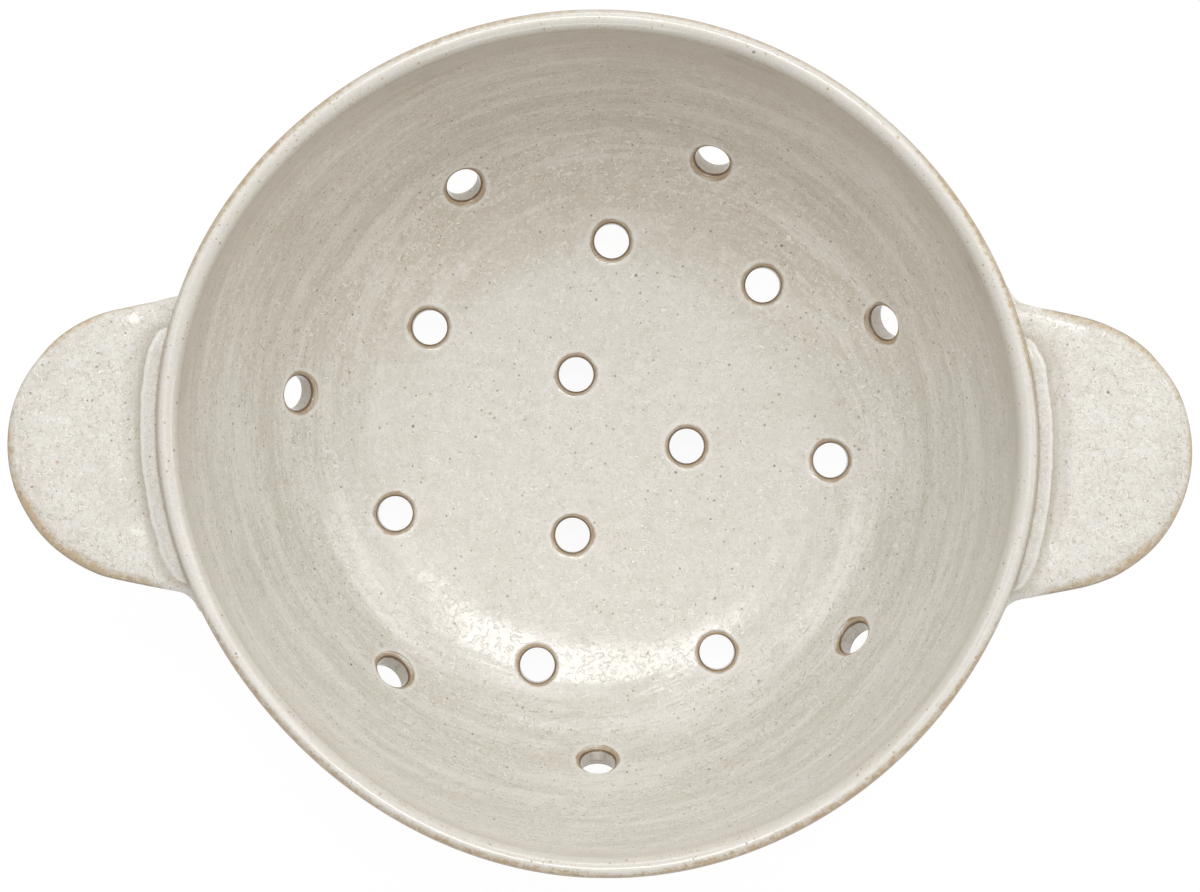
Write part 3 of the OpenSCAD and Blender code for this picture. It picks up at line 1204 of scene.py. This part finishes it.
def glazeMaterial(name, wheelMade, mottle=1.0):
    # Distances in millimetres, the height too
    made, shader = newMaterial(name)
    place = millimetres()
    run, width = readMark("edgeRun", marks["run"], 0.5), readMark("bareWidth", marks["bare"])
    noises = {field: cloudy(place, *settings) for field, settings in fields.items()}
    hand["colour"] = glaze["plain"]
    coat("thin", ease(noises["broad"], 0.44, 0.68, 0.0, 0.20))
    if wheelMade:
        at = wheelPlaces(place, run)
        paintWallLight(at)
    for field, low, high, amount, tone, own in mottles:
        coat(tone, ease(noises[field], low, high, 0.0, amount * mottle if own else amount))
    more = ease(at["radius"], 42, 60, 0.85, 1.60) if wheelMade else 1.0
    dark, light = drawHairlines(place, mottle, more)
    swell = times(cloudy(place, 0.22, 1.0), 0.07)
    height = total(times(noises["fine"], 0.020), swell, times(less(light, dark), 0.014))
    if wheelMade:
        height = markWall(at, run, height)
    for scale, share, size, soft, amount, tone in specks:
        coat(tone, spots(turnedBy(place, scale * 9), scale, share, size, soft), amount)
    if not wheelMade:
        past = readMark("pastCoil", marks["run"], 0.5)
        # painted shade in the dip beside the coil
        coat("recessShade", band(past, *bands["shadeBesideCoil"]), 0.52)
        # painted highlight along the coil's edge
        coat("thick", band(past, *bands["coilEdgeHighlight"]), 0.50)
    # The bare edge, where the glaze has drawn back
    kind = bareEdge[wheelMade]
    ragged = total(times(offMiddle(place, 0.9, 3.0, 0.6), 1.5), times(offMiddle(place, 3.4, 1.0), 0.5))
    blotch = cloudy(place, 0.7, 3.0, 0.65)
    reach = less(total(width, times(ragged, total(times(width, 0.6), 0.2))), run)
    bare = times(
        ease(reach, -kind["soft"], kind["soft"]), ease(total(run, ragged), kind["low"], kind["low"] + 0.8),
    )
    if wheelMade:
        stainAndShadeLip(place, at, run)
    coat("buff", bare, 0.85)
    coat("tan", bare, ease(total(blotch, times(reach, 0.14)), kind["tanFrom"], 0.70, 0.0, kind["tan"]))
    coat("fleck", bare, dark, 0.5)
    # painted shade on the outermost edge and in the coil's fold, over darker bare clay
    coat("umberAndShade", bare, ease(run, 0.42, 0.10), 0.75)
    height = total(height, times(ease(reach, -0.55, 0.25), -0.10))
    gloss = ease(cloudy(place, 0.13, 3.0), 0.3, 0.7, glaze["roughness"] - 0.03, glaze["roughness"] + 0.05)
    gloss = total(times(gloss, ease(run, *kind["gloss"])), times(bare, 0.16))
    if wheelMade:
        gloss, height = ringHoles(place, ragged, blotch, gloss, height)
    shader.inputs["IOR"].default_value = glaze["ior"]
    finishShader(shader, gloss, height)
    return made


def clayMaterial(name, light, dark, roughness):
    made, shader = newMaterial(name)
    place = millimetres()
    streaks = turnedPlace(place, 2.6, 1.0)[1]
    grog = cloudy(place, 0.9, 4.0, 0.7)
    grooves = cloudy(stretched(streaks, (1, 1, 0.9)), 1.0, 2.0)
    colour = blend(ease(grog, 0.35, 0.7), light, dark)
    hand["colour"] = blend(ease(grooves, 0.5, 0.8, 0.0, 0.5), colour, dark)
    coat("iron", spots(place, 0.3, 0.25, 0.4, 0.5))
    gloss = ease(grog, 0.3, 0.7, roughness - 0.08, roughness + 0.08)
    finishShader(shader, gloss, total(times(grog, 0.10), times(grooves, 0.08)))
    return made


def dress(piece, material, body, slot, *nodes):
    makeActive(piece)
    piece.data.materials.clear()
    piece.data.materials.append(material)
    bpy.ops.object.shade_smooth_by_angle(angle=radians(50))
    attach(piece, body)
    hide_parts(*nodes)


print("glazing")
wallGlaze = glazeMaterial("speckledGlaze", True)
handleGlaze = glazeMaterial("handleGlaze", False, 1.6)
seamGlaze = glazeMaterial("seamGlaze", False)
bareClay = clayMaterial("bareStoneware", colourOf(210, 191, 164), colourOf(180, 157, 127), 0.75)
firedSlip = clayMaterial("firedSlip", colourOf(192, 174, 148), colourOf(166, 146, 119), 0.7)

for piece, material, slot, node in (
    (bowlShell, wallGlaze, "speckled_glaze", "bowl_body"),
    (leftHandle, handleGlaze, "speckled_glaze", "left_handle"),
    (rightHandle, handleGlaze, "speckled_glaze", "right_handle"),
    (leftCoil, seamGlaze, "thin_glaze", "left_seam_coil"),
    (rightCoil, seamGlaze, "thin_glaze", "right_seam_coil"),
    (leftSlip, firedSlip, "clay_slip", "left_slip_joint"),
    (rightSlip, firedSlip, "clay_slip", "right_slip_joint"),
    (footRing, bareClay, "bare_stoneware", "foot_ring"),
    (footSlip, firedSlip, "clay_slip", "foot_slip_joint"),
):
    dress(piece, material, "root", slot, node)


studio = dict(
    frameWidth=227.25 * mm,  # what the picture's width covers at the rim's height
    cameraRise=850 * mm,  # above the rim
    cameraY=-0.45 * mm,
    cameraClip=(0.01, 20),
    sensor=36.0,
    floorSize=4.0,
    floorWhite=0.93,  # as the camera sees the table and the room
    roomWhite=0.95,
    room=0.45,  # the light that the room gives
)
# Soft lamps: lean from straight up and turn from +X in degrees, distance, width and depth in metres, power
lamps = dict(
    key=(16.5, 84, 1.2, 0.50, 0.26, 2.6),
    overhead=(0, 90, 1.5, 0.8, 0.8, 1.9),
    bankRight=(30, 45, 1.5, 0.7, 0.6, 1.1),
    bankLeft=(40, 125, 1.5, 0.7, 0.6, 1.4),
    back=(30, 90, 1.5, 0.8, 0.6, 0.6),
    right=(50, 30, 1.5, 0.7, 0.7, 3.0),
    left=(50, 150, 1.5, 0.7, 0.7, 2.2),
    low=(72, 90, 1.5, 0.9, 0.5, 2.6),
    lowFront=(76, -85, 1.5, 0.9, 0.4, 2.2),
    lowRight=(76, 10, 1.5, 0.9, 0.4, 1.8),
)


def seenWhite():
    rays = addNode("LightPath").outputs
    seen = calc("ADD", rays["Is Camera Ray"], rays["Is Glossy Ray"])
    return calc("ADD", seen, rays["Is Transmission Ray"], use_clamp=True)


def makeTable():
    table = addShape("plane", "table", size=studio["floorSize"])
    made, shader = newMaterial("tableWhite")
    shader.inputs["Base Color"].default_value = (0.8, 0.8, 0.8, 1)
    shader.inputs["Roughness"].default_value = 0.9
    shader.inputs["Specular IOR Level"].default_value = 0.0
    dim = addNode("BsdfDiffuse", {"Color": (0.10, 0.10, 0.10, 1)})
    glow = addNode("Emission", {"Color": (1, 1, 1, 1), "Strength": studio["floorWhite"]})
    both = addNode("AddShader", {0: dim.outputs[0], 1: glow.outputs[0]})
    mix = addNode("MixShader", {0: seenWhite(), 1: shader.outputs[0], 2: both.outputs[0]})
    plug(hand["tree"].nodes["Material Output"].inputs["Surface"], mix.outputs[0])
    table.data.materials.append(made)


def makeLamp(name, lean, turn, distance, width, depth, power):
    deselectAll()
    up, around = radians(lean), radians(turn)
    aim = Vector((0, 0, rimHeight / 2))
    way = Vector((sin(up) * cos(around), sin(up) * sin(around), cos(up)))
    bpy.ops.object.light_add(type="AREA", location=aim + distance * way)
    lamp = bpy.context.object
    lamp.name = name
    lamp.data.shape = "RECTANGLE"
    lamp.data.size, lamp.data.size_y = width, depth
    lamp.data.energy = power
    lamp.rotation_euler = way.to_track_quat("Z", "Y").to_euler()


def makeWorld():
    world = bpy.data.worlds.new("room")
    bpy.context.scene.world = world
    back = startTree(world)["Background"].inputs
    back["Color"].default_value = (1, 1, 1, 1)
    plug(back["Strength"], ease(seenWhite(), 0.0, 1.0, studio["room"], studio["roomWhite"]))


def makeCamera():
    deselectAll()
    place = (0, studio["cameraY"], rimHeight + studio["cameraRise"])
    bpy.ops.object.camera_add(location=place, rotation=(0, 0, 0))
    camera = bpy.context.object
    camera.data.sensor_width = studio["sensor"]
    camera.data.lens = studio["sensor"] * studio["cameraRise"] / studio["frameWidth"]
    camera.data.clip_start, camera.data.clip_end = studio["cameraClip"]
    bpy.context.scene.camera = camera
    bpy.context.scene.view_settings.view_transform = "Standard"


print("setting the table and the lamps")
makeTable()
makeWorld()
for name, settings in lamps.items():
    makeLamp(name, *settings)
makeCamera()
